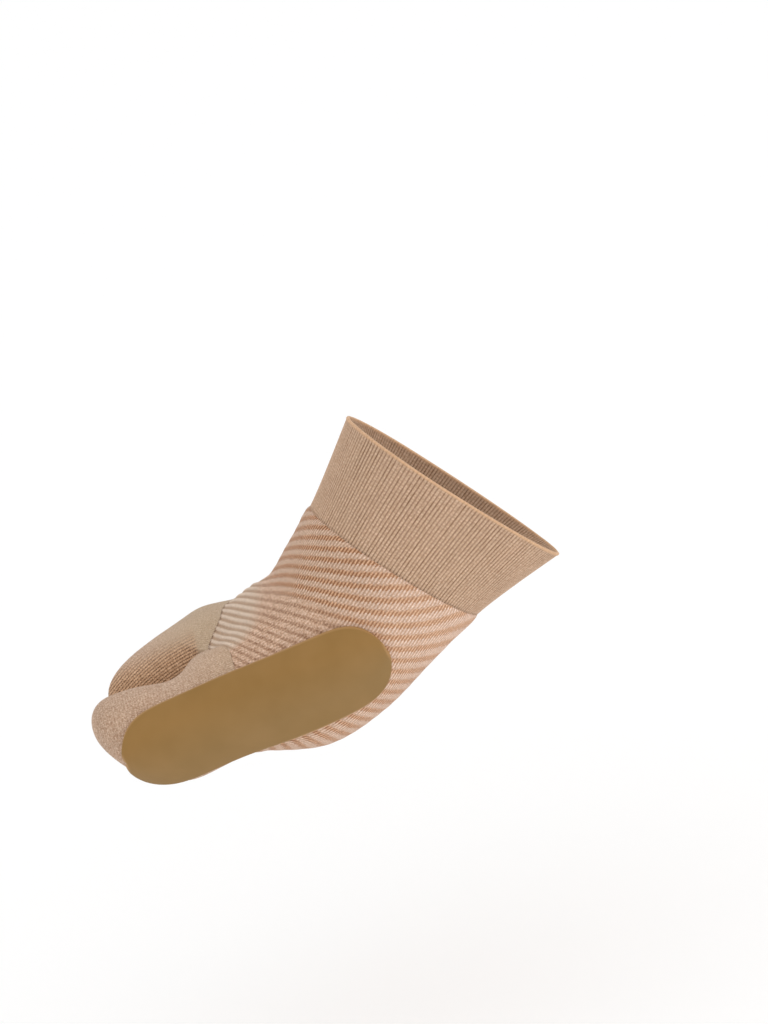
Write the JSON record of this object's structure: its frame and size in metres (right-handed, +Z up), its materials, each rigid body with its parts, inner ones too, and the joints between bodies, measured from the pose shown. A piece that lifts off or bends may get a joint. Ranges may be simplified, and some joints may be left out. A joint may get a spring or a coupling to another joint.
{
  "type": "bunion_corrector",
  "caption": "Knitted split-toe half sock for a right foot with a ribbed cuff, a striped sleeve and a smooth soft strip over the big-toe joint",
  "frame": {"origin": "centre of the cuff's opening, where the foot goes in", "axes": "+X from the toes to the heel, +Y from the big-toe side to the little-toe side, +Z up; the sole of the ball is level"},
  "size_m": [0.1837, 0.102, 0.1152],
  "materials": {
    "ribbed_knit": "ribbed tan knit, matt",
    "striped_knit": "striped knit in orange brown and pinkish beige, matt",
    "plain_knit": "plain heathered knit, matt",
    "soft_strip": "smooth soft gel strip, matt"
  },
  "bodies": {
    "root": {"ribbed_cuff": "ribbed_knit", "striped_sleeve": "striped_knit", "big_toe_pocket": "plain_knit", "four_toe_pocket": "plain_knit", "bunion_pad": "soft_strip"}
  },
  "joints": []
}
